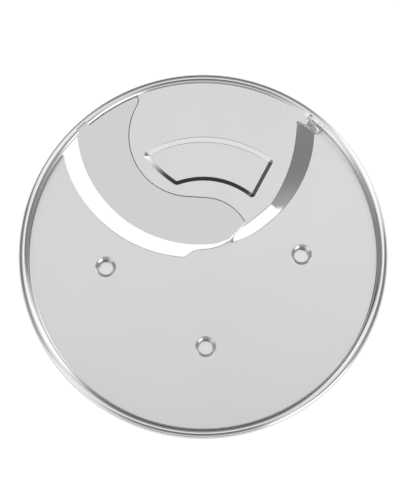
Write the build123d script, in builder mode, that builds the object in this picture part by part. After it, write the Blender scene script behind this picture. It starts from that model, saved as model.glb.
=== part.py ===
"""Slicing disc of a food processor: a pressed steel plate with a curved blade and three studs.

The plate is one sheet. Its rim is rolled into a bead, its floor carries the food, and a sector
of it is pressed up to carry the blade one slice above the floor. The blade lies flush in a
joggled shelf, and its edge faces a crescent throat that the slices fall through. Three hollow
studs hang below the floor, for the keyholes of a drive stem.

Millimetres, +Z up. The origin is on the axis of rotation, level with the ends of the studs.
Seen from above, the disc turns counter-clockwise.
"""

import os
from math import atan2, cos, degrees, hypot, radians, sin

from build123d import *

os.makedirs("parts", exist_ok=True)

# ---- driving dimensions ------------------------------------------------------------------
disc_radius = 100.0          # outside of the rim
sheet = 0.9                  # thickness of the plate
slice_height = 4.6           # top of the floor to the top of the blade
rim_rise = 6.0               # top of the floor to the crest of the bead

bead_radius = 2.7            # outside radius of the bead's crest
skirt_drop = 1.2             # rim's lower edge below the underside of the floor
hem_radius = 1.6             # outside radius of the turned-in lower edge of the rim
floor_bend = 0.6             # inside radius between the floor and the rim's wall

blade_sheet = 0.8            # thickness of the blade
seam_gap = 0.4               # between the blade and the plate, all round
bevel_width = 2.6            # ground on the underside of the cutting edge
edge_land = 0.12             # blunt thickness left at the cutting edge
shelf_margin = 7.5           # from the cutting edge back to the front of the shelf
joggle_lap = 1.0             # how far the shelf runs on under the raised sheet

stud_length = 7.0            # top of the floor to the end of a stud
stud_shank_radius = 4.7      # through the plate, and the neck below it
stud_flare = 0.5             # the mouth's countersink, in depth and in width
stud_mouth_radius = stud_shank_radius + stud_flare
stud_mouth_land = 0.1        # flat rim of the mouth
stud_collar_radius = stud_shank_radius + 1.2         # clamps the underside of the plate
stud_collar = 0.8
stud_head_radius = stud_shank_radius + 1.6           # passes the round end of a keyhole
stud_head = 2.0
stud_head_bevel = 0.5
stud_floor = 1.4             # thickness of the closed end
stud_throat_radius = stud_shank_radius - 0.55        # of the hollow, where it starts to flare
stud_well_radius = stud_shank_radius - 1.15          # flat bottom of the hollow

recess_depth = 1.8           # stiffening recess in the raised sector
recess_wall_run = 2.5        # width of its sloping wall, in plan
recess_corner = 2.4
hollow_lap = 1.0             # how far the hollow under raised sheet reaches into other metal

# ---- levels ------------------------------------------------------------------------------
floor_top = stud_length
floor_under = floor_top - sheet
deck_top = floor_top + slice_height
deck_under = deck_top - sheet
blade_under = deck_top - blade_sheet
crest_top = floor_top + rim_rise
crest_axis = crest_top - bead_radius
skirt_bottom = floor_under - skirt_drop
hem_axis = skirt_bottom + hem_radius
wall_foot = min(blade_under, crest_axis) - sheet     # of the bead's inner wall, at the deck
bend_axis = floor_top + floor_bend

# ---- plan: the rim -----------------------------------------------------------------------
bead_centre_radius = disc_radius - bead_radius
wall_inside = disc_radius - 2 * bead_radius
wall_outside = wall_inside + sheet
skirt_inside = disc_radius - sheet
rim_seat = wall_inside + sheet / 2       # sheet that joins the rim ends inside its wall
hem_edge = disc_radius - hem_radius      # the turned-in edge points at the axis
bend_edge = wall_inside - floor_bend     # the floor is flat up to here

# ---- plan: throat, blade and ramp, on a disc of 100 mm radius ----------------------------
plan = disc_radius / 100.0               # the plan grows with the disc


def spot(x, y):
    """A point of the plan, scaled with the disc."""
    return (x * plan, y * plan)


def polar(radius, angle):
    """The point at a radius and an angle in degrees about the axis of rotation."""
    return (radius * cos(radians(angle)), radius * sin(radians(angle)))


def on_arc(centre, radius, towards):
    """The point of a circle that lies towards another point."""
    dx, dy = towards[0] - centre[0], towards[1] - centre[1]
    return (centre[0] + radius * dx / hypot(dx, dy), centre[1] + radius * dy / hypot(dx, dy))


throat_centre = spot(-5.7, 71.0)
throat_radius = 72.4 * plan              # front lip of the floor
edge_centre = spot(-1.9, 72.0)
edge_radius = 67.3 * plan                # cutting edge
foot_centre = spot(-7.9, 71.6)
foot_radius = 69.4 * plan                # foot of the ramp
brow_centre = spot(-30.5, 72.7)
brow_radius = 81.5 * plan                # top of the ramp, outer part

throat_start = on_arc(throat_centre, throat_radius, spot(-80.0, 58.5))
throat_middle = on_arc(throat_centre, throat_radius, spot(-57.8, 21.1))
throat_turn = on_arc(throat_centre, throat_radius, spot(-11.5, -1.1))
lip_bends = [spot(11.3, 6.0), spot(7.2, 4.3), spot(2.4, 3.3), spot(-1.2, 3.05), spot(-5.6, 1.9)]
throat_tip = spot(14.8, 8.2)             # where throat, blade and ramp meet

edge_start = on_arc(edge_centre, edge_radius, spot(-71.0, 68.6))
edge_middle = on_arc(edge_centre, edge_radius, spot(-47.8, 23.2))
edge_turn = on_arc(edge_centre, edge_radius, spot(7.5, 5.4))

seam_bends = [spot(-35.2, 84.2), spot(-58.3, 34.5), spot(16.4, 29.8)]
seam_radii = [4.0 * plan, 34.0 * plan, 25.5 * plan]
seam_foot = spot(23.1, 16.8)             # seam meets the top of the ramp
seam_head = spot(-37.4, 95.0)            # under the bead

brow_knee = spot(36.8, 26.8)
brow_middle = on_arc(brow_centre, brow_radius, spot(47.0, 47.3))
brow_end = on_arc(brow_centre, brow_radius, spot(51.0, 72.5))
foot_start = spot(15.9, 6.7)
foot_first = on_arc(foot_centre, foot_radius, spot(28.5, 12.4))
foot_knee = on_arc(foot_centre, foot_radius, brow_knee)
foot_middle = on_arc(foot_centre, foot_radius, spot(55.0, 43.9))
foot_end = on_arc(foot_centre, foot_radius, spot(61.9, 66.9))

# The ramp stops short of the rim, where the raised sheet turns down along the rim instead.
shoulder_radius = 88.3 * plan
shoulder_top_angle = 51.5
shoulder_foot_angle = 46.5
shoulder_back_angle = 62.0

sector_back_angle = 122.0                # the raised sector ends in the opening for the blade
sector_left = spot(-50.0, 30.0)
beyond_rim = 1.2 * disc_radius           # cutters' sides, clear of the plate
blade_beyond = spot(-60.0, 90.0)         # the blade is trimmed back from here to the rim

tab_angles = (131.4, 135.3)              # the blade's tab, seated in a notch of the bead
tab_reach = bead_centre_radius + 0.1
tab_lap = 2.0                            # of the tab's root on the blade
notch_clearance = 0.1

recess_corners = [spot(-33.3, 55.0), spot(38.9, 51.3), spot(27.2, 29.5), spot(-14.6, 37.3)]
recess_outer_middle = polar(64.4 * plan, 88.0)
recess_inner_middle = polar(40.1 * plan, 82.0)
recess_left_middle = spot(-24.8, 45.3)

stud_spots = {
    "stud_left": spot(-52.9, -6.8),
    "stud_front": spot(1.4, -50.3),
    "stud_right": spot(53.5, 0.0),
}

# ---- profiles ----------------------------------------------------------------------------


def raised_outline(brow, spread=0.0):
    """The pressed-up sector in plan: at the level of the deck, or at the foot of its ramp.

    Its left side runs on past the seam, where the opening for the blade is cut out later.
    The hollow under it is spread a little wider on the sides that end in other metal.
    """
    if brow:
        tip, knee, end = throat_tip, brow_knee, brow_end
        first = ((tip[0] + knee[0]) / 2, (tip[1] + knee[1]) / 2)
        second = brow_middle
    else:
        tip, knee, end = foot_start, foot_knee, foot_end
        first, second = foot_first, foot_middle
    rim_reach = rim_seat + spread
    end_angle = degrees(atan2(end[1], end[0]))
    back_angle = sector_back_angle + spread
    rim_back = polar(rim_reach, back_angle)
    left = (sector_left[0] - spread, sector_left[1] - spread)
    with BuildLine() as outline:
        if brow:
            Line(tip, knee)
        else:
            ThreePointArc(tip, first, knee)
        ThreePointArc(knee, second, end)
        Line(end, polar(rim_reach, end_angle))
        ThreePointArc(polar(rim_reach, end_angle),
                      polar(rim_reach, (end_angle + back_angle) / 2), rim_back)
        Polyline(rim_back, left, tip)
    return outline.line


def shoulder_outline(angle, inner, outer, back):
    """The strip of raised sheet along the rim, from a given angle round to the sector."""
    middle = (angle + back) / 2
    with BuildLine() as outline:
        Line(polar(inner, angle), polar(outer, angle))
        ThreePointArc(polar(outer, angle), polar(outer, middle), polar(outer, back))
        Line(polar(outer, back), polar(inner, back))
        ThreePointArc(polar(inner, back), polar(inner, middle), polar(inner, angle))
    return outline.line


def seam_line():
    """The blade's back edge, from under the bead to the top of the ramp."""
    return FilletPolyline(seam_head, *seam_bends, seam_foot, radius=seam_radii)


def opening_outline():
    """The hole in the plate that holds the blade and the throat."""
    with BuildLine() as outline:
        seam_line()
        Line(seam_foot, throat_tip)
        Spline(throat_tip, *lip_bends, throat_turn, tangents=[(-0.85, -0.53), (-1, 0)])
        ThreePointArc(throat_turn, throat_middle, throat_start)
        rim_start = on_arc((0, 0), rim_seat, throat_start)
        rim_end = on_arc((0, 0), rim_seat, seam_head)
        Line(throat_start, rim_start)
        ThreePointArc(rim_start, on_arc((0, 0), rim_seat, blade_beyond), rim_end)
        Line(rim_end, seam_head)
    return outline.line


def rim_gap_outline():
    """Where the floor's wall is missing: from the shoulder round to the throat's start."""
    low = shoulder_foot_angle
    high = degrees(atan2(throat_start[1], throat_start[0]))
    middle = (low + high) / 2
    with BuildLine() as outline:
        Line(polar(bend_edge, low), polar(beyond_rim, low))
        ThreePointArc(polar(beyond_rim, low), polar(beyond_rim, middle), polar(beyond_rim, high))
        Line(polar(beyond_rim, high), polar(bend_edge, high))
        ThreePointArc(polar(bend_edge, high), polar(bend_edge, middle), polar(bend_edge, low))
    return outline.line


def deck_side_outline(*ramp_end):
    """All that lies behind the seam, and behind further points given at its lower end."""
    turn = (seam_foot, *ramp_end)[-1]
    with BuildLine() as outline:
        seam_line()
        Polyline(seam_foot, *ramp_end, (beyond_rim, turn[1]), (beyond_rim, beyond_rim),
                 (seam_head[0], beyond_rim), seam_head)
    return outline.line


def blade_outline():
    """The blade's own ground, before the gaps are taken off: seam, tip and cutting edge."""
    with BuildLine() as outline:
        seam_line()
        Line(seam_foot, throat_tip)
        Line(throat_tip, edge_turn)
        ThreePointArc(edge_turn, edge_middle, edge_start)
        Polyline(edge_start, blade_beyond, seam_head)
    return outline.line


def tab_outline(clearance):
    """The blade's tab, which laps the crest of the bead."""
    low, high = tab_angles
    spread = degrees(clearance / tab_reach)
    low, high = low - spread, high + spread
    inner, outer = wall_inside - tab_lap, tab_reach + clearance
    middle = (low + high) / 2
    with BuildLine() as outline:
        Line(polar(inner, low), polar(outer, low))
        ThreePointArc(polar(outer, low), polar(outer, middle), polar(outer, high))
        Line(polar(outer, high), polar(inner, high))
        ThreePointArc(polar(inner, high), polar(inner, middle), polar(inner, low))
    return outline.line


# ---- plate -------------------------------------------------------------------------------

with BuildPart() as bead:
    with BuildSketch(Plane.XZ):
        with BuildLine():
            Line((wall_inside, wall_foot), (wall_inside, crest_axis))
            CenterArc((bead_centre_radius, crest_axis), bead_radius, 180, -180)
            Line((disc_radius, crest_axis), (disc_radius, hem_axis))
            CenterArc((hem_edge, hem_axis), hem_radius, 0, -90)
            Line((hem_edge, skirt_bottom), (hem_edge, skirt_bottom + sheet))
            CenterArc((hem_edge, hem_axis), hem_radius - sheet, -90, 90)
            Line((skirt_inside, hem_axis), (skirt_inside, crest_axis))
            CenterArc((bead_centre_radius, crest_axis), bead_radius - sheet, 0, 180)
            Line((wall_outside, crest_axis), (wall_outside, wall_foot))
            Line((wall_outside, wall_foot), (wall_inside, wall_foot))
        make_face()
    revolve(axis=Axis.Z)

with BuildPart() as floor_and_wall:
    with BuildSketch(Plane.XZ):
        with BuildLine():
            Line((0, floor_under), (bend_edge, floor_under))
            CenterArc((bend_edge, bend_axis), floor_bend + sheet, -90, 90)
            Line((wall_outside, bend_axis), (wall_outside, crest_axis))
            Line((wall_outside, crest_axis), (wall_inside, crest_axis))
            Line((wall_inside, crest_axis), (wall_inside, bend_axis))
            CenterArc((bend_edge, bend_axis), floor_bend, 0, -90)
            Line((bend_edge, floor_top), (0, floor_top))
            Line((0, floor_top), (0, floor_under))
        make_face()
    revolve(axis=Axis.Z)

with BuildPart() as raised_sector:
    for level, brow in ((floor_top, False), (deck_top, True)):
        with BuildSketch(Plane.XY.offset(level)):
            add(raised_outline(brow))
            make_face()
    loft(ruled=True)
    with BuildSketch(Plane.XY.offset(floor_under)):
        add(raised_outline(False))
        make_face()
    extrude(amount=sheet)

with BuildPart() as sector_hollow:
    for level, brow in ((floor_under, False), (deck_under, True)):
        with BuildSketch(Plane.XY.offset(level)):
            add(raised_outline(brow, spread=hollow_lap))
            make_face()
    loft(ruled=True)
    with BuildSketch(Plane.XY.offset(floor_under)):
        add(raised_outline(False, spread=hollow_lap))
        make_face()
    extrude(amount=-sheet)

with BuildPart() as raised_shoulder:
    for level, angle in ((floor_under, shoulder_foot_angle), (deck_top, shoulder_top_angle)):
        with BuildSketch(Plane.XY.offset(level)):
            add(shoulder_outline(angle, shoulder_radius, rim_seat, shoulder_back_angle))
            make_face()
    loft(ruled=True)

with BuildPart() as shoulder_hollow:
    for level, angle in ((floor_under, shoulder_foot_angle), (deck_top, shoulder_top_angle)):
        with BuildSketch(Plane.XY.offset(level - sheet)):
            add(shoulder_outline(angle, shoulder_radius + sheet, rim_seat + hollow_lap,
                                 shoulder_back_angle + hollow_lap))
            make_face()
    loft(ruled=True)

with BuildPart() as low_floor:
    # The floor and its wall run all round except where the sector is raised or open.
    add(floor_and_wall.part)
    with BuildSketch(Plane.XY.offset(skirt_bottom)):
        add(rim_gap_outline())
        make_face()
    extrude(amount=crest_top, mode=Mode.SUBTRACT)

with BuildPart() as shelf:
    # Carries the blade: one blade's thickness below the deck, and lapped under it at the seam.
    with BuildSketch(Plane.XY.offset(blade_under - sheet)):
        Circle(rim_seat)
        with Locations(edge_centre):
            Circle(edge_radius - shelf_margin, mode=Mode.INTERSECT)
        with BuildSketch(mode=Mode.PRIVATE) as behind_seam:
            add(deck_side_outline())
            make_face()
        offset(behind_seam.sketch, amount=-joggle_lap, mode=Mode.SUBTRACT)
    extrude(amount=sheet)

with BuildPart() as recess_pocket:
    for level, run in ((deck_top, 0.0), (deck_top - recess_depth, recess_wall_run)):
        with BuildSketch(Plane.XY.offset(level)) as section:
            with BuildLine():
                left_out, right_out, right_in, left_in = recess_corners
                ThreePointArc(left_out, recess_outer_middle, right_out)
                Line(right_out, right_in)
                ThreePointArc(right_in, recess_inner_middle, left_in)
                ThreePointArc(left_in, recess_left_middle, left_out)
            make_face()
            fillet(section.vertices(), recess_corner)
            if run:
                offset(amount=-run, mode=Mode.REPLACE)
    loft(ruled=True)

with BuildPart() as disc_plate:
    add(low_floor.part)
    add(raised_sector.part)
    add(raised_shoulder.part)
    add(sector_hollow.part, mode=Mode.SUBTRACT)
    add(shoulder_hollow.part, mode=Mode.SUBTRACT)

    # The stiffening recess is a pan of the same sheet.
    add(recess_pocket.part.moved(Location((0, 0, -sheet))))
    add(recess_pocket.part, mode=Mode.SUBTRACT)

    with BuildSketch(Plane.XY.offset(skirt_bottom)):
        add(opening_outline())
        make_face()
    extrude(amount=crest_top, mode=Mode.SUBTRACT)

    add(shelf.part)
    add(bead.part)

    with BuildSketch(Plane.XY.offset(blade_under)):
        add(tab_outline(notch_clearance))
        make_face()
    extrude(amount=rim_rise, mode=Mode.SUBTRACT)

    for place in stud_spots.values():
        with Locations((*place, floor_top)):
            CounterSinkHole(stud_shank_radius, stud_mouth_radius, depth=2 * sheet,
                            counter_sink_angle=90)

disc_plate.part.label = "disc_plate"
export_step(disc_plate.part, "parts/disc_plate.step")

# ---- blade -------------------------------------------------------------------------------

with BuildPart() as bevel_cutter:
    with BuildSketch(Plane(origin=(*edge_centre, 0), x_dir=(1, 0, 0), z_dir=(0, -1, 0))):
        with BuildLine():
            edge_level = deck_top - edge_land
            Polyline((edge_radius - bevel_width, blade_under),
                     (edge_radius, edge_level),
                     (edge_radius + bevel_width, edge_level),
                     (edge_radius + bevel_width, blade_under - bevel_width),
                     (edge_radius - bevel_width, blade_under - bevel_width), close=True)
        make_face()
    revolve(axis=Axis((*edge_centre, 0), (0, 0, 1)))

with BuildPart() as slicing_blade:
    with BuildSketch(Plane.XY.offset(blade_under)):
        Circle(wall_inside - seam_gap)
        with BuildSketch(mode=Mode.PRIVATE) as blade_zone:
            add(blade_outline())
            make_face()
        add(blade_zone.sketch, mode=Mode.INTERSECT)
        with BuildSketch(mode=Mode.PRIVATE) as deck_side:
            add(deck_side_outline(throat_tip))
            make_face()
            offset(amount=seam_gap, mode=Mode.REPLACE)
        add(deck_side.sketch, mode=Mode.SUBTRACT)
        with BuildSketch(mode=Mode.PRIVATE) as tab:
            add(tab_outline(0.0))
            make_face()
        add(tab.sketch)
    extrude(amount=blade_sheet)
    add(bevel_cutter.part, mode=Mode.SUBTRACT)

slicing_blade.part.label = "slicing_blade"
export_step(slicing_blade.part, "parts/slicing_blade.step")

# ---- studs -------------------------------------------------------------------------------

collar_under = floor_under - stud_collar

for name, place in stud_spots.items():
    with BuildPart() as stud:
        with BuildSketch(Plane.XZ):
            with BuildLine():
                Polyline((0, 0),
                         (stud_head_radius - stud_head_bevel, 0),
                         (stud_head_radius, stud_head_bevel),
                         (stud_head_radius, stud_head),
                         (stud_shank_radius, stud_head),
                         (stud_shank_radius, collar_under),
                         (stud_collar_radius, collar_under),
                         (stud_collar_radius, floor_under),
                         (stud_shank_radius, floor_under),
                         (stud_shank_radius, floor_top - stud_flare),
                         (stud_mouth_radius, floor_top),
                         (stud_mouth_radius - stud_mouth_land, floor_top),
                         (stud_throat_radius, floor_under),
                         (stud_well_radius, stud_floor),
                         (0, stud_floor), close=True)
            make_face()
        revolve(axis=Axis.Z)
    stud.part.position = (*place, 0)
    stud.part.label = name
    export_step(stud.part, f"parts/{name}.step")
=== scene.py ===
"""Slicing disc of a food processor, in brushed and polished stainless steel."""

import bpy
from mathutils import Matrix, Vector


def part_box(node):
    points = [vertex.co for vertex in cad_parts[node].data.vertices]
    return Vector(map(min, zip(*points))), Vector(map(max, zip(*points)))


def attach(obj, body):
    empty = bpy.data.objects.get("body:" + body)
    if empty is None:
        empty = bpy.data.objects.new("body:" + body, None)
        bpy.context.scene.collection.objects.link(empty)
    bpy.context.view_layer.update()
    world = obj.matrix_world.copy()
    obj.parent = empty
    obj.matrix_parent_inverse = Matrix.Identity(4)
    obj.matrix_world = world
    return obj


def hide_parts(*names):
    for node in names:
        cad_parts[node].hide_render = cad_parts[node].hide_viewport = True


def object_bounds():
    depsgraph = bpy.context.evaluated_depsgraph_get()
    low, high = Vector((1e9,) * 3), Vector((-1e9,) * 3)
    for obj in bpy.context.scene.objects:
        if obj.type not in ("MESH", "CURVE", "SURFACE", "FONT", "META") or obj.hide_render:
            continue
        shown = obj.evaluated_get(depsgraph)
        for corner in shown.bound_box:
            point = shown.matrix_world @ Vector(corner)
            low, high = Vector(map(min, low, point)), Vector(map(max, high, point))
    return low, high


bl_info = {
    "name": "Slicing disc",
    "version": (1, 0, 0),
    "blender": (4, 5, 0),
    "location": "View3D > Sidebar > Disc",
    "description": "Builds the pressed plate, blade, studs and studio of a slicing disc",
    "category": "Object",
}

from math import asin, atan2, ceil, cos, degrees, hypot, pi, radians, sin, sqrt, tan

import bpy
import numpy as np
from mathutils import Vector
from mathutils.geometry import delaunay_2d_cdt

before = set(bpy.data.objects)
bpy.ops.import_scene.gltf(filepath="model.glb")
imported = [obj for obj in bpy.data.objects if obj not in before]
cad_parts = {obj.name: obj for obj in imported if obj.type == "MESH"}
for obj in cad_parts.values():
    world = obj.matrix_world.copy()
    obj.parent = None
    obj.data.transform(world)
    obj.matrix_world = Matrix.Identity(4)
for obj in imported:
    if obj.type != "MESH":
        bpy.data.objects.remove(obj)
CAD_LOW, CAD_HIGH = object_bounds()
PLATE_LOW, PLATE_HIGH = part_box("disc_plate")
BLADE_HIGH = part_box("slicing_blade")[1]
STUDS = ("stud_left", "stud_front", "stud_right")
STUD_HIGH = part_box("stud_front")[1][2]
MM = 0.001


# ---- settings ----------------------------------------------------------------------------

def length(name, text, default):
    return bpy.props.FloatProperty(name=name, description=text, default=default, min=0.0,
                                   precision=5, unit="LENGTH")


def share(name, text, default):
    return bpy.props.FloatProperty(name=name, description=text, default=default, min=0.0,
                                   max=1.0, subtype="FACTOR")


def colour(name, text, default):
    return bpy.props.FloatVectorProperty(name=name, description=text, default=default, size=3,
                                         min=0.0, max=1.0, subtype="COLOR")


class DiscPressing(bpy.types.PropertyGroup):
    """Sizes of the pressed sheet."""
    radius: length("Radius", "Outside of the rim", PLATE_HIGH[0])
    sheet: length("Sheet", "Thickness of the plate", 0.0009)
    floor_level: length("Floor level", "Top of the floor that carries the food", STUD_HIGH)
    deck_level: length("Deck level", "Top of the raised sector and of the blade", BLADE_HIGH[2])
    crest_level: length("Crest level", "Top of the rim's bead", PLATE_HIGH[2])
    bead_radius: length("Bead radius", "Outside radius of the rim's bead", 0.0027)
    hem_radius: length("Hem radius", "Turned-in lower edge of the rim", 0.0016)
    floor_bend: length("Floor bend", "Inside radius between the sheet and the rim", 0.0006)
    ramp_bend: length("Ramp bend", "Half width of the ramp's bends, in plan", 0.00035)
    recess_depth: length("Recess depth", "Depth of the stiffening recess", 0.0018)
    recess_run: length("Recess run", "Width of the recess's sloping wall", 0.0025)
    recess_bend: length("Recess bend", "Half width of the recess's bends, in plan", 0.00016)
    shelf_drop: length("Shelf drop", "Step down to the shelf under the blade", 0.0008)
    shelf_margin: length("Shelf margin", "From the cutting edge back to the shelf", 0.0075)
    lip_roll: length("Lip roll", "Rounding of the sheared edges", 0.00022)


class DiscFinish(bpy.types.PropertyGroup):
    """Colours and polish of the steel."""
    plate_colour: colour("Plate colour", "Pressed plate", (0.66, 0.665, 0.66))
    blade_colour: colour("Blade colour", "Slicing blade", (0.63, 0.64, 0.63))
    stud_colour: colour("Stud colour", "Turned studs", (0.64, 0.64, 0.635))
    plate_roughness: share("Plate roughness", "Brushed flats of the plate", 0.34)
    polish_roughness: share("Polish roughness", "Rim and ramp, polished by the press tool", 0.09)
    blade_roughness: share("Blade roughness", "Flat of the blade", 0.36)
    stud_roughness: share("Stud roughness", "Turned surfaces of the studs", 0.2)
    grain: share("Grain", "Strength of the brushed grain", 0.5)
    broken_edge: length("Broken edge", "Rounding of the blade's edges", 0.00012)


class DiscStudio(bpy.types.PropertyGroup):
    """Floor, light and camera."""
    floor_colour: colour("Floor colour", "Plain floor", (0.25, 0.25, 0.25))
    floor_glow: share("Floor glow", "Light of the lit table under the disc", 0.9)
    camera_distance: length("Camera distance", "From the disc's axis at the crest", 0.9)
    camera_tilt: bpy.props.FloatProperty(name="Camera tilt", default=radians(9.5),
                                         description="Lean of the view from straight down",
                                         subtype="ANGLE")
    lens: bpy.props.FloatProperty(name="Lens", description="Focal length", default=119.7,
                                  min=1.0, unit="CAMERA")


# ---- plan of the disc, in millimetres ----------------------------------------------------

def polar(radius, angle):
    """Point at a radius, and at an angle in degrees."""
    return (radius * cos(radians(angle)), radius * sin(radians(angle)))


def towards(centre, radius, point):
    """Point of a circle that lies towards another point."""
    dx, dy = point[0] - centre[0], point[1] - centre[1]
    return (centre[0] + radius * dx / hypot(dx, dy), centre[1] + radius * dy / hypot(dx, dy))


def arc(centre, start, end, pitch, clockwise=False):
    """Points of an arc about a centre, start and end included."""
    a = atan2(start[1] - centre[1], start[0] - centre[0])
    b = atan2(end[1] - centre[1], end[0] - centre[0])
    turn = (a - b if clockwise else b - a) % (2 * pi)
    radius = hypot(start[0] - centre[0], start[1] - centre[1])
    count = max(2, ceil(radius * turn / pitch))
    way = -1 if clockwise else 1
    return [(centre[0] + radius * cos(a + way * turn * i / count),
             centre[1] + radius * sin(a + way * turn * i / count)) for i in range(count + 1)]


def through(first, middle, last, pitch):
    """Points of the arc through three points."""
    ax, ay, bx, by, cx, cy = *first, *middle, *last
    d = 2 * (ax * (by - cy) + bx * (cy - ay) + cx * (ay - by))
    ux = ((ax**2 + ay**2) * (by - cy) + (bx**2 + by**2) * (cy - ay)
          + (cx**2 + cy**2) * (ay - by)) / d
    uy = ((ax**2 + ay**2) * (cx - bx) + (bx**2 + by**2) * (ax - cx)
          + (cx**2 + cy**2) * (bx - ax)) / d
    return arc((ux, uy), first, last, pitch, clockwise=d < 0)


def straight(first, last, pitch):
    """Points of a straight line."""
    count = max(1, ceil(hypot(last[0] - first[0], last[1] - first[1]) / pitch))
    return [(first[0] + (last[0] - first[0]) * i / count,
             first[1] + (last[1] - first[1]) * i / count) for i in range(count + 1)]


def joined(*runs):
    """One chain of points from runs that follow each other."""
    chain = []
    for run in runs:
        for point in run:
            if not chain or hypot(point[0] - chain[-1][0], point[1] - chain[-1][1]) > 1e-6:
                chain.append(point)
    return chain


def rounded(corners, radii, pitch):
    """An open chain through corners, each inner corner rounded to its radius."""
    runs, last = [], Vector(corners[0])
    for before, corner, after, radius in zip(corners, corners[1:], corners[2:], radii):
        c = Vector(corner)
        u, v = (Vector(before) - c).normalized(), (Vector(after) - c).normalized()
        half = u.angle(v) / 2
        start, end = c + u * radius / tan(half), c + v * radius / tan(half)
        centre = c + (u + v).normalized() * radius / sin(half)
        runs.append(straight(last, start, pitch))
        runs.append(arc(centre, start, end, pitch, clockwise=u.cross(v) > 0))
        last = end
    runs.append(straight(last, corners[-1], pitch))
    return joined(*runs)


def eased(points, first_way, last_way, pitch):
    """A smooth chain through points, with the way it leaves the first and meets the last."""
    p = [Vector(q) for q in points]
    ways = [Vector(first_way).normalized()]
    ways += [(c - a).normalized() for a, c in zip(p, p[2:])]
    ways.append(Vector(last_way).normalized())
    chain = []
    for a, b, va, vb in zip(p, p[1:], ways, ways[1:]):
        gap = (b - a).length
        count = max(2, ceil(gap / pitch))
        for i in range(count + 1):
            t = i / count
            chain.append(tuple(a * (2 * t**3 - 3 * t**2 + 1) + b * (3 * t**2 - 2 * t**3)
                               + va * gap * (t**3 - 2 * t**2 + t) + vb * gap * (t**3 - t**2)))
    return joined(chain)


PITCH = 0.9                       # spacing of the points along the features
THROAT = ((-5.7, 71.0), 72.4)     # front lip of the floor
EDGE = ((-1.9, 72.0), 67.3)       # cutting edge
FOOT = ((-7.9, 71.6), 69.4)       # foot of the ramp
BROW = ((-30.5, 72.7), 81.5)      # top of the ramp, outer part
TIP = (14.8, 8.2)                 # where throat, blade and ramp meet
FOOT_START = (15.9, 6.7)
KNEE = (36.8, 26.8)
SECTOR_LEFT = (-50.0, 30.0)       # a corner inside the opening, out of the sheet
SEAM_HEAD, SEAM_FOOT = (-37.4, 95.0), (23.1, 16.8)
SEAM_BENDS = [(-35.2, 84.2), (-58.3, 34.5), (16.4, 29.8)]
SEAM_RADII = [4.0, 34.0, 25.5]
LIP_BENDS = [(11.3, 6.0), (7.2, 4.3), (2.4, 3.3), (-1.2, 3.05), (-5.6, 1.9)]
SHOULDER_SIDE = ((51.1, 73.1), (62.1, 67.8))     # end of the ramp; a raised strip lies beyond
SHOULDER_ANGLES = (46.5, 51.5)    # foot and top of its own short ramp
NOTCH_ANGLES = (131.3, 135.4)     # notch of the bead for the blade's tab
RAMP_LEAST_RUN = 5.0              # keeps the ramp's narrow tip from standing steep
SHOULDER_BEND = 0.8
SHOULDER_END, SHOULDER_END_BEND = 0.9, 0.3       # step at the end of the ramp
SEAM_STEP, SEAM_BEND = 0.22, 0.1  # the joggle down to the shelf
# Folds where the strip runs out: radius, angle, width and depth.
CRIMPS = [(95.2, 52.8, 1.4, -0.24), (93.2, 50.4, 1.3, 0.26), (94.6, 48.9, 1.2, -0.24),
          (93.6, 47.0, 1.3, 0.2), (95.4, 45.8, 1.2, 0.18)]
RECESS = [(-33.3, 55.0), (38.9, 51.3), (27.2, 29.5), (-14.6, 37.3)]
RECESS_OUTER, RECESS_INNER = polar(64.4, 88.0), polar(40.1, 82.0)
RECESS_LEFT = (-24.8, 45.3)
RECESS_CORNER, CORNER_STEP = 2.4, 0.2   # radius, and the turn between points in radians
STUD_SPOTS = [(-52.9, -6.8), (1.4, -50.3), (53.5, 0.0)]
STUD_MOUTH = 5.3                  # hole in the floor around a stud
WELD_RADIUS = 93.9                # the flat sheet ends here and the rim begins
CUT_CLEAR = 0.15                  # cut edges stop this far inside the weld
BEYOND = 110.0                    # outside the disc
SEAM_LOW_PART = 40.0              # the seam below this is part of the shelf's border
# Points along the rim's section: hem, bead outside and inside its crest, and floor bend.
HEM_POINTS, OUTER_POINTS, INNER_POINTS, BEND_POINTS = 6, 13, 14, 7


def seam_chain(pitch=PITCH):
    return rounded([SEAM_HEAD, *SEAM_BENDS, SEAM_FOOT], SEAM_RADII, pitch)


def lip_chain():
    """Edge of the floor along the throat, from the blade's tip out past the rim."""
    centre, radius = THROAT
    turn = towards(centre, radius, (-11.5, -1.1))
    start = towards(centre, radius, (-80.0, 58.5))
    return joined(eased([TIP, *LIP_BENDS, turn], (-0.85, -0.53), (-1, 0), 0.6),
                  arc(centre, turn, start, PITCH, clockwise=True),
                  straight(start, (start[0] * 1.1, start[1] * 1.1), PITCH))


def foot_chain():
    centre, radius = FOOT
    first, knee = towards(centre, radius, (28.5, 12.4)), towards(centre, radius, KNEE)
    middle, end = towards(centre, radius, (55.0, 43.9)), towards(centre, radius, (61.9, 66.9))
    return joined(straight(SECTOR_LEFT, FOOT_START, PITCH), through(FOOT_START, first, knee, PITCH),
                  through(knee, middle, end, PITCH),
                  straight(end, (end[0] * 1.2, end[1] * 1.2), PITCH))


def brow_chain():
    centre, radius = BROW
    middle, end = towards(centre, radius, (47.0, 47.3)), towards(centre, radius, (51.0, 72.5))
    return joined(straight(SECTOR_LEFT, TIP, PITCH), straight(TIP, KNEE, PITCH),
                  through(KNEE, middle, end, PITCH),
                  straight(end, (end[0] * 1.25, end[1] * 1.25), PITCH))


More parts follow.
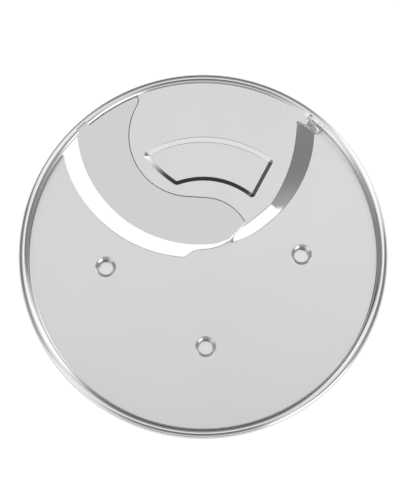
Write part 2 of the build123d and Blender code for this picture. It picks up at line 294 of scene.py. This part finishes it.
class Outline:
    """A chain of points with fast distances and, when closed, an inside."""

    def __init__(self, chain, closed=False):
        self.points = np.array([tuple(p) for p in chain], dtype=float)
        self.closed = closed
        ends = np.roll(self.points, -1, axis=0)
        self.a = self.points if closed else self.points[:-1]
        self.b = ends if closed else ends[:-1]

    def distance(self, where):
        """Shortest distance from each place to the chain."""
        best = np.full(len(where), np.inf)
        for low in range(0, len(where), 2000):
            part = where[low:low + 2000, None, :]
            run = (self.b - self.a)[None]
            along = ((part - self.a[None]) * run).sum(2) / (run**2).sum(2)
            foot = self.a[None] + np.clip(along, 0, 1)[..., None] * run
            best[low:low + 2000] = np.sqrt(((part - foot)**2).sum(2)).min(1)
        return best

    def holds(self, where):
        """Which places lie inside the closed chain."""
        inside = np.zeros(len(where), dtype=bool)
        ends = np.roll(self.points, -1, axis=0)
        for (x0, y0), (x1, y1) in zip(self.points, ends):
            if y0 == y1:
                continue
            crosses = (y0 > where[:, 1]) != (y1 > where[:, 1])
            inside ^= crosses & (where[:, 0] < (x1 - x0) * (where[:, 1] - y0) / (y1 - y0) + x0)
        return inside

    def row(self, shift):
        """Places along the chain, moved sideways to its left."""
        after, before = np.roll(self.points, -1, axis=0), np.roll(self.points, 1, axis=0)
        if not self.closed:
            after[-1], before[0] = self.points[-1], self.points[0]
        way = after - before
        way /= np.hypot(way[:, 0], way[:, 1])[:, None]
        return self.points + shift * np.stack([-way[:, 1], way[:, 0]], axis=1)


def soft_ramp(u, run, bend):
    """Rises from 0 to 1 as u goes from 0 to run, with both bends rounded."""
    def area(t):
        return np.where(t < 0, 0.0, np.where(t > run, t - run / 2, t**2 / (2 * run)))
    return (area(u + bend) - area(u - bend)) / (2 * bend)


class Pressing:
    """Shape of the sheet: its height at any place, and the outlines it is cut to."""

    def __init__(self, sizes):
        self.sheet = sizes.sheet / MM
        self.floor, self.deck = sizes.floor_level / MM, sizes.deck_level / MM
        self.shelf = self.deck - sizes.shelf_drop / MM
        self.bend, self.roll = sizes.ramp_bend / MM, sizes.lip_roll / MM
        self.recess_depth, self.recess_run = sizes.recess_depth / MM, sizes.recess_run / MM
        self.recess_bend = sizes.recess_bend / MM
        self.shelf_circle = (EDGE[0], EDGE[1] - sizes.shelf_margin / MM)
        self.seam = Outline(seam_chain(0.6))
        self.foot, self.brow = Outline(foot_chain()), Outline(brow_chain())
        self.foot_area = Outline([*foot_chain(), (0, 2 * BEYOND), (-BEYOND, BEYOND)], closed=True)
        self.brow_area = Outline([*brow_chain(), (0, 2 * BEYOND), (-BEYOND, BEYOND)], closed=True)
        self.lip = Outline(lip_chain())
        outer_lip = lip_chain()[-1]
        self.opening = Outline([*seam_chain(0.6), *lip_chain(), (outer_lip[0], 2 * BEYOND),
                                (SEAM_HEAD[0] - 4.0, 2 * BEYOND),
                                (SEAM_HEAD[0] - 1.5, SEAM_HEAD[1] + 8.0)], closed=True)
        self.recess = self.recess_outline()
        self.cuts = [self.lip]               # sheared edges, whose upper corner is rolled over

    def recess_outline(self):
        left_out, right_out, right_in, left_in = RECESS
        sharp = Outline(joined(through(left_out, RECESS_OUTER, right_out, 0.5),
                               straight(right_out, right_in, 0.5),
                               through(right_in, RECESS_INNER, left_in, 0.5),
                               through(left_in, RECESS_LEFT, left_out, 0.5))[:-1], closed=True)
        # Shrunk by the corner radius and grown again, which rounds the corners.
        shrunk = sharp.row(RECESS_CORNER)
        if not sharp.holds(shrunk[:1])[0]:
            shrunk = sharp.row(-RECESS_CORNER)
        kept = shrunk[(sharp.distance(shrunk) > RECESS_CORNER - 0.02) & sharp.holds(shrunk)]
        side = 1 if self.turns_left(kept) else -1
        grown = []
        for before, here, after in zip(np.roll(kept, 1, axis=0), kept, np.roll(kept, -1, axis=0)):
            u, v = here - before, after - here
            first, last = atan2(u[1], u[0]), atan2(v[1], v[0])
            turn = (last - first + pi) % (2 * pi) - pi
            steps = max(1, ceil(abs(turn) / CORNER_STEP))
            for i in range(steps):
                angle = first + turn * (i + 0.5) / steps - pi / 2
                grown.append((here[0] + side * RECESS_CORNER * cos(angle),
                              here[1] + side * RECESS_CORNER * sin(angle)))
        return Outline(grown, closed=True)

    @staticmethod
    def turns_left(points):
        ends = np.roll(points, -1, axis=0)
        return (points[:, 0] * ends[:, 1] - ends[:, 0] * points[:, 1]).sum() > 0

    def ramp(self, where):
        """Share of the rise that the ramp has climbed at each place."""
        from_foot = self.foot.distance(where) * np.where(self.foot_area.holds(where), 1, -1)
        to_brow = self.brow.distance(where) * np.where(self.brow_area.holds(where), -1, 1)
        run = np.maximum(from_foot + to_brow, RAMP_LEAST_RUN)
        return soft_ramp(from_foot, run, np.minimum(self.bend, run / 4))

    def shoulder(self, where):
        """Share of the rise on the strip between the ramp's outer end and the rim."""
        radius = np.hypot(where[:, 0], where[:, 1])
        angle = np.degrees(np.arctan2(where[:, 1], where[:, 0]))
        low, high = SHOULDER_ANGLES
        along = np.radians(angle - low) * radius
        climbed = soft_ramp(along, np.radians(high - low) * radius, SHOULDER_BEND)
        (ax, ay), (bx, by) = SHOULDER_SIDE
        beyond = ((where[:, 1] - ay) * (bx - ax) - (where[:, 0] - ax) * (by - ay)) / hypot(
            bx - ax, by - ay)
        climbed *= soft_ramp(beyond + 0.5, SHOULDER_END, SHOULDER_END_BEND)
        return climbed * (angle < 90) * (angle > 0)

    def height(self, where):
        """Top of the sheet at each place."""
        # Past the seam, and only inside its own front edge, the sheet is the blade's shelf.
        (sx, sy), shelf_radius = self.shelf_circle
        on_shelf = self.opening.holds(where)
        on_shelf &= np.hypot(where[:, 0] - sx, where[:, 1] - sy) < shelf_radius + 0.3
        raised = np.where(on_shelf, 1.0, np.maximum(self.ramp(where), self.shoulder(where)))
        past_seam = self.seam.distance(where) * np.where(on_shelf, 1, -1)
        inward = self.recess.distance(where) * np.where(self.recess.holds(where), 1, -1)
        near = np.min([cut.distance(where) for cut in self.cuts], axis=0)
        return (self.floor + (self.deck - self.floor) * raised
                - self.recess_depth * soft_ramp(inward, self.recess_run, self.recess_bend)
                - (self.deck - self.shelf) * soft_ramp(past_seam, SEAM_STEP, SEAM_BEND)
                - self.crimp(where)
                - self.roll * np.clip(1 - near / (2 * self.roll), 0, 1)**2)

    @staticmethod
    def crimp(where):
        """Depth of the small folds of the strip along the rim."""
        return sum(depth * np.exp(-((where - np.array(polar(radius, angle)))**2).sum(1) / wide**2)
                   for radius, angle, wide, depth in CRIMPS)

    def facing(self, where, reach=0.03):
        """Way the sheet faces at each place."""
        east, north = np.array([reach, 0.0]), np.array([0.0, reach])
        slope_x = (self.height(where + east) - self.height(where - east)) / (2 * reach)
        slope_y = (self.height(where + north) - self.height(where - north)) / (2 * reach)
        way = np.stack([-slope_x, -slope_y, np.ones(len(where))], axis=1)
        return way / np.linalg.norm(way, axis=1)[:, None]


class Sheet:
    """A closed skin: top places, their partners one thickness below, and faces."""

    def __init__(self):
        self.top, self.under, self.faces, self.known = [], [], [], {}
        self.smooth, self.ways = [], {}      # way that the sheet faces, where it is known

    def add(self, top, under):
        key = tuple(round(c, 5) for c in top)
        if key not in self.known:
            self.known[key] = len(self.top)
            self.top.append(tuple(top))
            self.under.append(tuple(under))
        return self.known[key]

    def face(self, corners, smooth=False):
        ring = [c for i, c in enumerate(corners) if c != corners[i - 1]]
        if len(ring) > 2 and len(set(ring)) == len(ring):
            self.faces.append(ring)
            self.smooth.append(smooth)

    def build(self, name):
        used = {}
        for ring in self.faces:
            for a, b in zip(ring, ring[1:] + ring[:1]):
                used[a, b] = used.get((a, b), 0) + 1
        count = len(self.top)
        faces = list(self.faces) + [[c + count for c in reversed(ring)] for ring in self.faces]
        borders = [(a, b) for a, b in used if (b, a) not in used]
        faces += [[b, a, a + count, b + count] for a, b in borders]
        mesh = bpy.data.meshes.new(name)
        mesh.from_pydata([(x * MM, y * MM, z * MM) for x, y, z in self.top + self.under],
                         [], faces)
        mesh.shade_smooth()
        mesh.set_sharp_from_angle(angle=radians(50))
        normals = []
        for i, ring in enumerate(faces):
            under = len(self.faces) <= i < 2 * len(self.faces)
            known = i < 2 * len(self.faces) and self.smooth[i % len(self.faces)]
            for c in ring:
                way = self.ways[c % count] if known else (0.0, 0.0, 0.0)
                normals.append(tuple(-w for w in way) if under else tuple(way))
        mesh.normals_split_custom_set(normals)
        piece = bpy.data.objects.new(name, mesh)
        bpy.context.collection.objects.link(piece)
        return piece


def rim_angles(fixed):
    """Angles of the rim's columns, closer together where the sheet changes."""
    marks = sorted(set([*np.arange(0, 360, 0.6), *np.arange(45.0, 56.0, 0.2), *fixed]))
    kept = []
    for angle in marks:
        near = [f for f in fixed if f != angle and abs(f - angle) < 0.08]
        if angle in fixed or not near:
            kept.append(float(angle))
    return kept


def rim_section(sizes, level, shelf_level, wall_foot):
    """Places and outward ways along the rim's section, from its hem in to the sheet.

    Also gives how far along are the crest, the foot of the blade's notch and the foot of the
    inner wall.
    """
    outer, bead = sizes.radius / MM, sizes.bead_radius / MM
    hem, bend = sizes.hem_radius / MM, sizes.floor_bend / MM
    centre_r, centre_z = outer - bead, sizes.crest_level / MM - bead
    bottom, floor_axis = PLATE_LOW[2] / MM, level + bend
    path = []
    for turn in np.linspace(-90, 0, HEM_POINTS):
        a = radians(turn)
        path.append((outer - hem + hem * cos(a), bottom + hem + hem * sin(a), cos(a), sin(a)))
    reach = sqrt((bead + bend)**2 - max(0.0, floor_axis - centre_z)**2)
    meet = 180.0
    if floor_axis > centre_z:
        meet -= degrees(asin((floor_axis - centre_z) / (bead + bend)))
    to_shelf = 180 - degrees(asin((shelf_level - centre_z) / bead))
    stops = [*np.linspace(0, 90, OUTER_POINTS), *np.linspace(90, to_shelf, INNER_POINTS)[1:],
             (to_shelf + 180) / 2, 180.0]
    for stop in stops:
        a = radians(min(stop, meet))
        path.append((centre_r + bead * cos(a), centre_z + bead * sin(a), cos(a), sin(a)))
    low = max(floor_axis, 0.0)
    for z in (wall_foot, (wall_foot + low) / 2):
        if z < centre_z and low < centre_z:
            path.append((outer - 2 * bead, max(z, low), -1.0, 0.0))
        else:
            path.append(path[-1])
    for t in np.linspace(0, 1, BEND_POINTS):
        a = radians(meet - 180) * (1 - t) + radians(-90) * t
        path.append((centre_r - reach + bend * cos(a), floor_axis + bend * sin(a),
                     -cos(a), -sin(a)))
    path.append((WELD_RADIUS, level, 0.0, 1.0))
    crest = HEM_POINTS + OUTER_POINTS - 1
    notch_foot = crest + INNER_POINTS - 1
    return path, crest, notch_foot, notch_foot + 3


class Blank:
    """Plan of the flat sheet: its border, the studs' holes and the angles of the rim's columns."""

    def __init__(self, press):
        (sx, sy), shelf_radius = press.shelf_circle
        lip, seam = press.lip.points, press.seam.points
        circle = np.array([(sx + shelf_radius * cos(radians(a)), sy + shelf_radius * sin(radians(a)))
                           for a in np.arange(100.0, 330.0, 0.8)])
        self.throat_angle = self.crossing(lip)
        self.shelf_angle = self.crossing(circle)
        at_seam = [self.crossing(seam) + past for past in (0.0, 0.07, 0.14, 0.25)]
        self.angles = rim_angles([self.throat_angle, self.shelf_angle, self.shelf_angle + 0.1,
                                  *NOTCH_ANGLES, *at_seam])

        # The rim's weld, the shelf's front, the seam's foot, the lip, and the weld again.
        limit = WELD_RADIUS - CUT_CLEAR
        before = [polar(WELD_RADIUS, a) for a in self.angles if a <= self.shelf_angle]
        shelf_in = [p for p in circle if hypot(*p) < limit
                    and press.opening.holds(np.array([p]))[0]]
        seam_in = [p for p in seam
                   if hypot(p[0] - sx, p[1] - sy) > shelf_radius and p[1] < SEAM_LOW_PART]
        lip_in = [p for p in lip if hypot(*p) < limit]
        after = [polar(WELD_RADIUS, a) for a in self.angles if a >= self.throat_angle]
        self.border = joined(before, shelf_in, seam_in, lip_in, after)
        self.edge = Outline(self.border, closed=True)
        self.front = Outline(shelf_in + seam_in + lip_in)
        self.holes = [[(x + STUD_MOUTH * cos(t), y + STUD_MOUTH * sin(t))
                       for t in np.linspace(0, 2 * pi, 49)[:-1]] for x, y in STUD_SPOTS]
        self.rings = [Outline(hole, closed=True) for hole in self.holes]

    @staticmethod
    def crossing(chain):
        """Angle at which a chain crosses the rim's weld circle."""
        for (ax, ay), (bx, by) in zip(chain, chain[1:]):
            a, b = hypot(ax, ay) - WELD_RADIUS, hypot(bx, by) - WELD_RADIUS
            if a * b < 0 and ay > 0:
                t = a / (a - b)
                return degrees(atan2(ay + (by - ay) * t, ax + (bx - ax) * t)) % 360
        raise RuntimeError("a cut edge of the sheet doesn't reach the rim")

    def is_open(self, angle):
        """Whether the throat leaves the rim without a sheet at this angle."""
        return self.shelf_angle < angle < self.throat_angle

    def holds(self, places, clear=0.0):
        """Which places lie in the sheet, and clear of its edges."""
        inside = self.edge.holds(places)
        for ring in self.rings:
            inside &= ~ring.holds(places)
        if clear:
            for line in (self.edge, *self.rings):
                inside &= line.distance(places) > clear
        return inside

    def rows(self, press):
        """Rows of points along every bend and cut edge, where the mesh is fine."""
        rows = []
        for share_of_bend in (-2.2, -1.3, -1.0, -0.65, -0.3, 0.0, 0.3, 0.65, 1.0, 1.3, 2.2):
            rows += [press.foot.row(share_of_bend * press.bend),
                     press.brow.row(share_of_bend * press.bend)]
        for shift in (0.0, 0.08, 0.16, 0.24, 0.34, -0.1, -0.25, 1.0, -1.0):
            rows.append(press.seam.row(shift))
        run, inwards = press.recess_run, 1 if press.turns_left(press.recess.points) else -1
        around = [press.recess_bend * k for k in (-1.6, -1.0, -0.5, 0.0, 0.5, 1.0, 1.6)]
        for shift in (-0.6, *around, run * 0.33, run * 0.5, run * 0.67,
                      *(run + bend for bend in around), run + 0.6):
            rows.append(press.recess.row(inwards * shift))
        for shift in (0.12, 0.25, 0.42, 0.8):
            rows += [self.front.row(shift), self.front.row(-shift)]
            rows += [ring.row(-shift) for ring in self.rings]
        side = Outline(straight(*SHOULDER_SIDE, 0.4))
        for shift in (-1.2, -0.8, -0.5, -0.25, 0.0, 0.25, 0.5, 0.8, 1.2):
            rows.append(side.row(shift))
        for radius in np.arange(88.2, 93.8, 0.4):
            rows.append(np.array([polar(radius, a) for a in np.arange(44.0, 56.0, 0.3)]))
        rows.append(np.array([polar(WELD_RADIUS - 0.8, a) for a in np.arange(0.3, 360, 0.6)]))
        return rows

    def triangles(self, press):
        """The sheet in plan: its points, and triangles that keep to its edges."""
        points = [tuple(p) for p in self.border]
        chains = [list(range(len(points)))]
        for hole in self.holes:
            chains.append(list(range(len(points), len(points) + len(hole))))
            points += hole
        bonds = [(a, b) for chain in chains for a, b in zip(chain, chain[1:] + chain[:1])]

        cells = {}
        cell = lambda p: (int(p[0] // 1.0), int(p[1] // 1.0))

        def keep(p):
            cells.setdefault(cell(p), []).append(p)

        def crowded(p, gap):
            cx, cy = cell(p)
            return any(hypot(p[0] - q[0], p[1] - q[1]) < gap
                       for i in (-1, 0, 1) for j in (-1, 0, 1)
                       for q in cells.get((cx + i, cy + j), ()))

        for p in points:
            keep(p)
        along, across = 1.5, 1.3
        grid = [(x + 0.5 * (round(y / across) % 2) * along, y)
                for y in np.arange(-93.6, 94, across) for x in np.arange(-93, 94, along)]
        fine = [tuple(p) for row in self.rows(press) for p in row]
        for candidates, clear, gap in ((fine, 0.07, 0.075), (grid, 0.5, 0.8)):
            places = np.array(candidates)
            for p in places[self.holds(places, clear)]:
                if not crowded(p, gap):
                    keep(tuple(p))
                    points.append(tuple(p))

        made = delaunay_2d_cdt([Vector(p) for p in points], bonds, [], 0, 1e-7)
        flat = np.array([tuple(v) for v in made[0]])
        triangles = np.array([list(f) for f in made[2]])
        return flat, triangles[self.holds(flat[triangles].mean(axis=1))]


class DISC_OT_plate(bpy.types.Operator):
    """Press the plate from one sheet: floor, raised sector, recess, shelf and rolled rim"""
    bl_idname = "disc.plate"
    bl_label = "Pressed plate"

    def execute(self, context):
        sizes = context.scene.disc_pressing
        press = Pressing(sizes)
        blank = Blank(press)
        skin = Sheet()
        self.press_flat(skin, press, blank)
        self.roll_rim(skin, press, blank, sizes)
        piece = skin.build("pressed_plate")
        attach(piece, "root")
        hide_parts("disc_plate")
        piece.data.materials.append(brushed_steel("plate", context.scene.disc_finish))
        return {"FINISHED"}

    def press_flat(self, skin, press, blank):
        """Everything inside the rim, as one height over the plan."""
        flat, triangles = blank.triangles(press)
        press.cuts = [blank.front, *blank.rings]
        ids = [skin.add((x, y, z), (x, y, z - press.sheet))
               for (x, y), z in zip(flat, press.height(flat))]
        skin.ways = dict(zip(ids, press.facing(flat)))
        for corners in triangles:
            a, b, c = (ids[i] for i in corners)
            (ax, ay), (bx, by), (cx, cy) = flat[corners]
            if (bx - ax) * (cy - ay) - (cx - ax) * (by - ay) < 0:
                b, c = c, b
            skin.face([a, b, c], smooth=True)

    def roll_rim(self, skin, press, blank, sizes):
        """The rolled rim, column by column."""
        wall_foot = min(press.shelf, (sizes.crest_level - sizes.bead_radius) / MM) - press.sheet
        welds = np.array([polar(WELD_RADIUS, a) for a in blank.angles])
        columns = []
        for angle, level in zip(blank.angles, press.height(welds) + press.crimp(welds)):
            if blank.is_open(angle):
                level = press.floor
            path, crest, notch_foot, foot = rim_section(sizes, level, press.shelf, wall_foot)
            c, s = cos(radians(angle)), sin(radians(angle))
            folds = press.crimp(np.array([(r * c, r * s) for r, _, _, _ in path]))
            column = []
            for (r, z, nr, nz), fold in zip(path, folds):
                z, inner = z - fold, r - press.sheet * nr
                column.append(skin.add((r * c, r * s, z),
                                       (inner * c, inner * s, z - press.sheet * nz)))
            columns.append(column)
        for i, angle in enumerate(blank.angles):
            after = (i + 1) % len(blank.angles)
            middle = (angle + (blank.angles[after] if after else 360.0)) / 2
            in_notch = NOTCH_ANGLES[0] < middle < NOTCH_ANGLES[1]
            this, that = columns[i], columns[after]
            for k in range(len(this) - 1):
                if blank.is_open(middle) and k >= foot - 1:
                    continue
                if in_notch and crest <= k < notch_foot:
                    continue
                skin.face([this[k], that[k], that[k + 1], this[k + 1]])


# ---- shaders -----------------------------------------------------------------------------

class Wire:
    """An output socket that takes part in sums, products and comparisons."""

    def __init__(self, web, socket):
        self.web, self.socket = web, socket

    def math(self, operation, *values):
        return self.web.node("ShaderNodeMath", {"operation": operation},
                             dict(enumerate(values))).out(0)

    def __add__(self, other):
        return self.math("ADD", self, other)

    def __sub__(self, other):
        return self.math("SUBTRACT", self, other)

    def __rsub__(self, other):
        return self.math("SUBTRACT", other, self)

    def __mul__(self, other):
        return self.math("MULTIPLY", self, other)

    def __truediv__(self, other):
        return self.math("DIVIDE", self, other)

    def __pow__(self, other):
        return self.math("POWER", self, other)

    def __abs__(self):
        return self.math("ABSOLUTE", self)

    __radd__ = __add__
    __rmul__ = __mul__

    def above(self, other):
        return self.math("MAXIMUM", self, other)

    def ramp(self, low, high):
        """Goes smoothly from 0 to 1 as this value goes from low to high."""
        return self.web.node("ShaderNodeMapRange", {"interpolation_type": "SMOOTHSTEP"},
                             {"Value": self, "From Min": low, "From Max": high}).out("Result")


class Knot:
    """A node whose outputs are read as wires."""

    def __init__(self, web, node):
        self.web, self.node = web, node

    def out(self, name):
        return Wire(self.web, self.node.outputs[name])


class Web:
    """A node tree under construction."""

    def __init__(self, tree):
        self.tree = tree
        tree.nodes.clear()

    def node(self, kind, settings=None, sockets=None):
        made = self.tree.nodes.new(kind)
        for name, value in (settings or {}).items():
            setattr(made, name, value)
        for name, value in (sockets or {}).items():
            if isinstance(value, Wire):
                self.tree.links.new(value.socket, made.inputs[name])
            else:
                made.inputs[name].default_value = value
        return Knot(self, made)

    def tinted(self, base, tone):
        """A colour made lighter or darker by a value."""
        grey = self.node("ShaderNodeCombineXYZ", {}, {0: tone, 1: tone, 2: tone}).out(0)
        return self.node("ShaderNodeMix", {"data_type": "RGBA", "blend_type": "MULTIPLY"},
                         {0: 1.0, 6: (*base, 1.0), 7: grey}).out(2)

    def stretched(self, where, scale):
        return self.node("ShaderNodeVectorMath", {"operation": "MULTIPLY"},
                         {0: where, 1: scale}).out(0)

    def noise(self, where, scale, detail=2.0, roughness=0.5):
        return self.node("ShaderNodeTexNoise", {},
                         {"Vector": where, "Scale": scale, "Detail": detail,
                          "Roughness": roughness}).out("Fac")

    def parts(self, vector):
        knot = self.node("ShaderNodeSeparateXYZ", {}, {0: vector})
        return knot.out(0), knot.out(1), knot.out(2)

    def facing(self, vector, way):
        """How far a vector points along a way, as a cosine."""
        return self.node("ShaderNodeVectorMath", {"operation": "DOT_PRODUCT"},
                         {0: vector, 1: Vector(way).normalized()}).out("Value")


def brushed_steel(role, finish):
    """Stainless steel with a one-way grain, hairlines and soft smudges, polished off the flat."""
    material = bpy.data.materials.new(role + "_steel_finish")
    material.use_nodes = True
    web = Web(material.node_tree)
    base, rough = getattr(finish, role + "_colour"), getattr(finish, role + "_roughness")
    where = web.node("ShaderNodeTexCoord").out("Object")
    upright = web.facing(web.node("ShaderNodeNewGeometry").out("Normal"), (0, 0, 1))
    flat = abs(upright).ramp(0.985, 0.9995)
    polish = rough
    if role == "plate":
        # The rim is polished, and so is all that isn't level.
        x, y, _ = web.parts(where)
        flat = flat * ((x * x + y * y) ** 0.5).ramp(0.0948, 0.0944)
        polish = finish.polish_roughness
    grain = web.noise(web.stretched(where, (3200.0, 110.0, 3200.0)), 1.0, 3.0, 0.6)
    fine = web.noise(web.stretched(where, (9000.0, 260.0, 9000.0)), 1.0, 2.0, 0.6)
    smudge = web.noise(where, 38.0, 3.0, 0.55)
    cloud = web.noise(where, 11.0, 2.0, 0.5)
    tone = 0.965 + 0.05 * grain * flat + 0.02 * (smudge - 0.5)
    roughness = (polish + (rough - polish) * flat + 0.05 * (cloud - 0.5)
                 + 0.04 * (smudge - 0.5) + 0.06 * (grain - 0.5) * flat).above(0.03)
    bump = web.node("ShaderNodeBump", {},
                    {"Strength": 0.24 * finish.grain, "Distance": 0.00003,
                     "Height": (grain + 0.5 * fine) * flat + 0.15 * fine}).out(0)
    shader = web.node("ShaderNodeBsdfPrincipled", {},
                      {"Base Color": web.tinted(base, tone), "Metallic": 1.0,
                       "Roughness": roughness, "Normal": bump})
    web.node("ShaderNodeOutputMaterial", {}, {"Surface": shader.out(0)})
    return material


def dress(node, material):
    """Gives a carried-over part its finish."""
    part = bpy.data.objects[node]
    if not part.material_slots:
        part.data.materials.append(None)
    for slot in part.material_slots:
        slot.link = "OBJECT"
        slot.material = material


class DISC_OT_blade(bpy.types.Operator):
    """Finish the slicing blade: a lapped flat with a fine grain and broken edges"""
    bl_idname = "disc.blade"
    bl_label = "Slicing blade"

    def execute(self, context):
        dress("slicing_blade", brushed_steel("blade", context.scene.disc_finish))
        broken_edge = bpy.data.objects["slicing_blade"].modifiers.new("broken_edge", "BEVEL")
        broken_edge.width = context.scene.disc_finish.broken_edge
        broken_edge.segments = 2
        broken_edge.limit_method = "ANGLE"
        broken_edge.angle_limit = radians(50)
        return {"FINISHED"}


class DISC_OT_studs(bpy.types.Operator):
    """Finish the three hollow studs"""
    bl_idname = "disc.studs"
    bl_label = "Studs"

    def execute(self, context):
        steel = brushed_steel("stud", context.scene.disc_finish)
        for node in STUDS:
            dress(node, steel)
        return {"FINISHED"}


# ---- studio ------------------------------------------------------------------------------

FLOOR_REACH, FLOOR_SIDES, FLOOR_GAP = 3.0, 64, 0.0005
FRAME_SHIFT = (-0.0062, 0.007)    # share of the frame's width
# Panels of the tent. Each has a compass direction with its inner and outer half width, the
# pairs of leans from straight up over which it fades in and out, and its strength.
TENT_LIGHT, TENT_LEAST = 1.17, 0.05
FRONT_WALL = (-90, 20, 42, [(62, 72)], 0.74)
DARK_PANELS = [(-96, 24, 46, [(8, 16), (56, 44)], 0.7), (90, 18, 42, [(20, 34)], 0.65),
               (108, 48, 56, [(62, 72)], 0.88), (-10, 24, 46, [(10, 26)], 0.55),
               (8, 8, 32, [(10, 26)], 0.38), (176, 16, 34, [(14, 30)], 0.72)]
LENS_HOLE = (12, 4, 0.85)         # half widths of the dark hole that the camera looks through
LIGHT_PANELS = [(-48, 12, 22, [(60, 68)], 1.9), (-158, 6, 24, [(14, 28)], 0.2),
                (34, 10, 20, [(4, 14)], 0.6), (126, 8, 20, [(12, 24), (60, 40)], 0.3)]


class DISC_OT_stage(bpy.types.Operator):
    """Lay the pale floor, light it like a studio tent and set the camera"""
    bl_idname = "disc.stage"
    bl_label = "Studio"

    def execute(self, context):
        studio = context.scene.disc_studio
        self.lay_floor(studio)
        self.light(studio)
        self.place_camera(context.scene, studio)
        return {"FINISHED"}

    def lay_floor(self, studio):
        mesh = bpy.data.meshes.new("floor")
        ring = [(FLOOR_REACH * cos(t), FLOOR_REACH * sin(t), 0.0)
                for t in (2 * pi * i / FLOOR_SIDES for i in range(FLOOR_SIDES))]
        mesh.from_pydata(ring, [], [list(range(FLOOR_SIDES))])
        floor = bpy.data.objects.new("floor", mesh)
        floor.location.z = CAD_LOW[2] - FLOOR_GAP
        bpy.context.collection.objects.link(floor)
        material = bpy.data.materials.new("floor_finish")
        material.use_nodes = True
        web = Web(material.node_tree)
        where = web.node("ShaderNodeTexCoord").out("Object")
        mottle = 0.99 + 0.02 * (web.noise(where, 25.0, 3.0) - 0.5)
        shader = web.node("ShaderNodeBsdfPrincipled", {},
                          {"Base Color": web.tinted(studio.floor_colour, mottle),
                           "Roughness": 0.9, "Emission Color": (1.0, 1.0, 1.0, 1.0),
                           "Emission Strength": studio.floor_glow})
        web.node("ShaderNodeOutputMaterial", {}, {"Surface": shader.out(0)})
        mesh.materials.append(material)

    def light(self, studio):
        """A pale tent with dark and light panels, and a dark hole where the camera looks in."""
        world = bpy.data.worlds.new("tent")
        world.use_nodes = True
        bpy.context.scene.world = world
        web = Web(world.node_tree)
        way = web.node("ShaderNodeTexCoord").out("Generated")
        tilt = studio.camera_tilt

        x, y, z = web.parts(way)
        across = ((x * x + y * y) ** 0.5).above(0.001)

        def panel(azimuth, inner, outer, fades, strength):
            turned = (x * cos(radians(azimuth)) + y * sin(radians(azimuth))) / across
            part = turned.ramp(cos(radians(outer)), cos(radians(inner)))
            for first, last in fades:
                part = part * z.ramp(cos(radians(first)), cos(radians(last)))
            return part * strength

        level = TENT_LIGHT - panel(*FRONT_WALL)
        for dark in DARK_PANELS:
            level = level * (1.0 - panel(*dark))
        outer, inner, depth = LENS_HOLE
        hole = web.facing(way, (0.0, -sin(tilt), cos(tilt)))
        level = level * (1.0 - hole.ramp(cos(radians(outer)), cos(radians(inner))) * depth)
        for light in LIGHT_PANELS:
            level = level + panel(*light)
        level = level.above(TENT_LEAST)
        glow = web.node("ShaderNodeBackground", {},
                        {"Color": (1.0, 1.0, 1.0, 1.0), "Strength": level})
        web.node("ShaderNodeOutputWorld", {}, {"Surface": glow.out(0)})

    def place_camera(self, scene, studio):
        data = bpy.data.cameras.new("camera")
        camera = bpy.data.objects.new("camera", data)
        scene.collection.objects.link(camera)
        tilt, distance = studio.camera_tilt, studio.camera_distance
        pressing = scene.disc_pressing
        level = pressing.crest_level - pressing.bead_radius
        camera.location = (0.0, -distance * sin(tilt), level + distance * cos(tilt))
        camera.rotation_euler = (tilt, 0.0, 0.0)
        data.lens, data.sensor_width = studio.lens, 36.0
        data.shift_x, data.shift_y = FRAME_SHIFT
        data.clip_start, data.clip_end = 0.01, 20.0
        scene.camera = camera
        scene.view_settings.view_transform = "Standard"


class DISC_PT_panel(bpy.types.Panel):
    bl_idname = "DISC_PT_panel"
    bl_label = "Slicing disc"
    bl_space_type = "VIEW_3D"
    bl_region_type = "UI"
    bl_category = "Disc"

    def draw(self, context):
        layout = self.layout
        for group in ("disc_pressing", "disc_finish", "disc_studio"):
            settings = getattr(context.scene, group)
            box = layout.box()
            for name in settings.bl_rna.properties.keys():
                if name not in ("rna_type", "name"):
                    box.prop(settings, name)
        for step in STEPS:
            layout.operator(step.bl_idname)


STEPS = (DISC_OT_plate, DISC_OT_blade, DISC_OT_studs, DISC_OT_stage)
GROUPS = {"disc_pressing": DiscPressing, "disc_finish": DiscFinish, "disc_studio": DiscStudio}


def register():
    for kind in (*GROUPS.values(), *STEPS, DISC_PT_panel):
        bpy.utils.register_class(kind)
    for name, kind in GROUPS.items():
        setattr(bpy.types.Scene, name, bpy.props.PointerProperty(type=kind))


def unregister():
    for name in GROUPS:
        delattr(bpy.types.Scene, name)
    for kind in (DISC_PT_panel, *reversed(STEPS), *GROUPS.values()):
        bpy.utils.unregister_class(kind)


def main():
    register()
    bpy.ops.disc.plate()
    bpy.ops.disc.blade()
    bpy.ops.disc.studs()
    bpy.ops.disc.stage()


if __name__ == "__main__":
    main()
